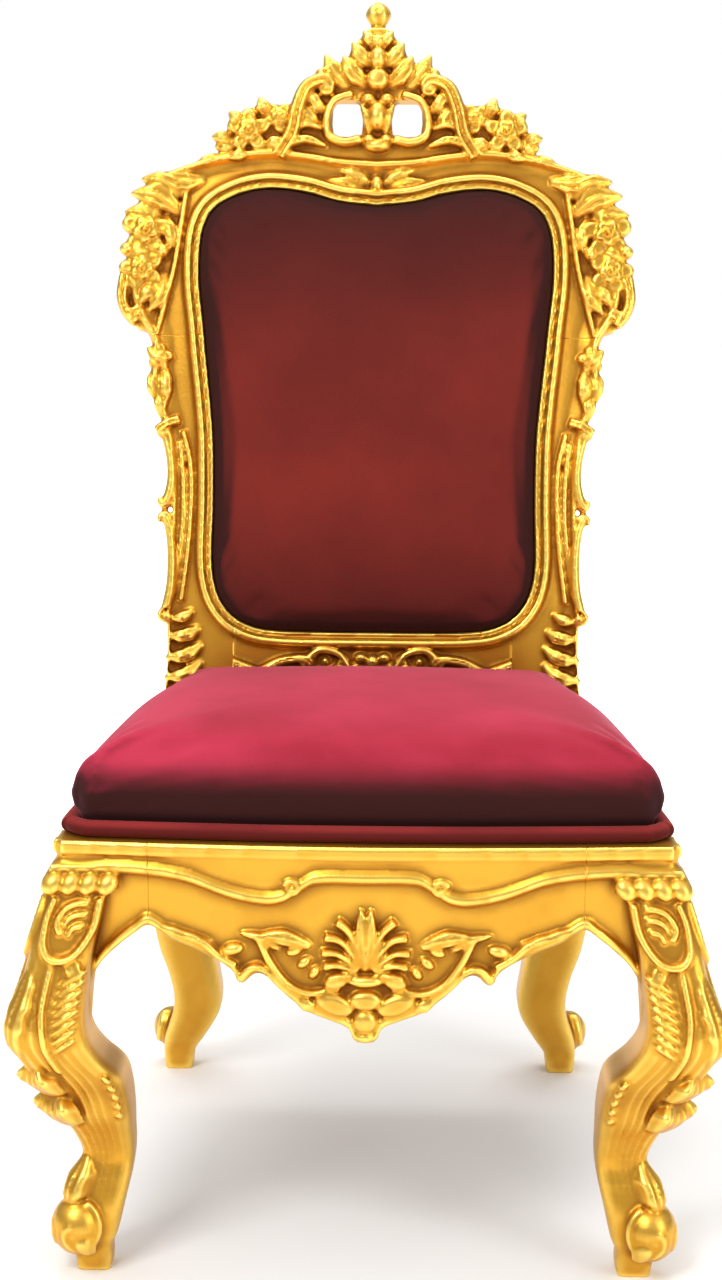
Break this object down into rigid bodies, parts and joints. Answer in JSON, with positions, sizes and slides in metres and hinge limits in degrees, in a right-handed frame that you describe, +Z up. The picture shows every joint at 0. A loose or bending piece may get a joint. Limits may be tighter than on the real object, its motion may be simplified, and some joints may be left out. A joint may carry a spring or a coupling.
{
  "type": "throne",
  "caption": "Gilded carved throne chair with a tall pierced crest, cabriole legs, a scalloped apron and a velvet back and seat.",
  "frame": {"origin": "on the floor, under the middle of the throne's plan", "axes": "+Z up, -Y the way the sitter faces, +X to the right of someone who looks at the front"},
  "size_m": [0.705, 0.702, 1.3126],
  "materials": {
    "gilt_wood": "gilded, satin to bright, darker in the hollows",
    "seat_velvet": "short-pile crimson velvet",
    "back_velvet": "short-pile brownish red velvet",
    "piping": "velvet-covered roll",
    "back_cover": "plain woven dark red cloth"
  },
  "bodies": {
    "root": {"crest_rail": "gilt_wood", "stile_left": "gilt_wood", "stile_right": "gilt_wood", "lower_back_rail": "gilt_wood", "front_seat_rail": "gilt_wood", "side_seat_rail_left": "gilt_wood", "side_seat_rail_right": "gilt_wood", "rear_seat_rail": "gilt_wood", "front_leg_left": "gilt_wood", "front_leg_right": "gilt_wood", "back_leg_left": "gilt_wood", "back_leg_right": "gilt_wood", "back_pad": "back_velvet", "back_panel": "back_cover", "seat_cushion": "seat_velvet", "seat_piping": "piping"}
  },
  "joints": []
}
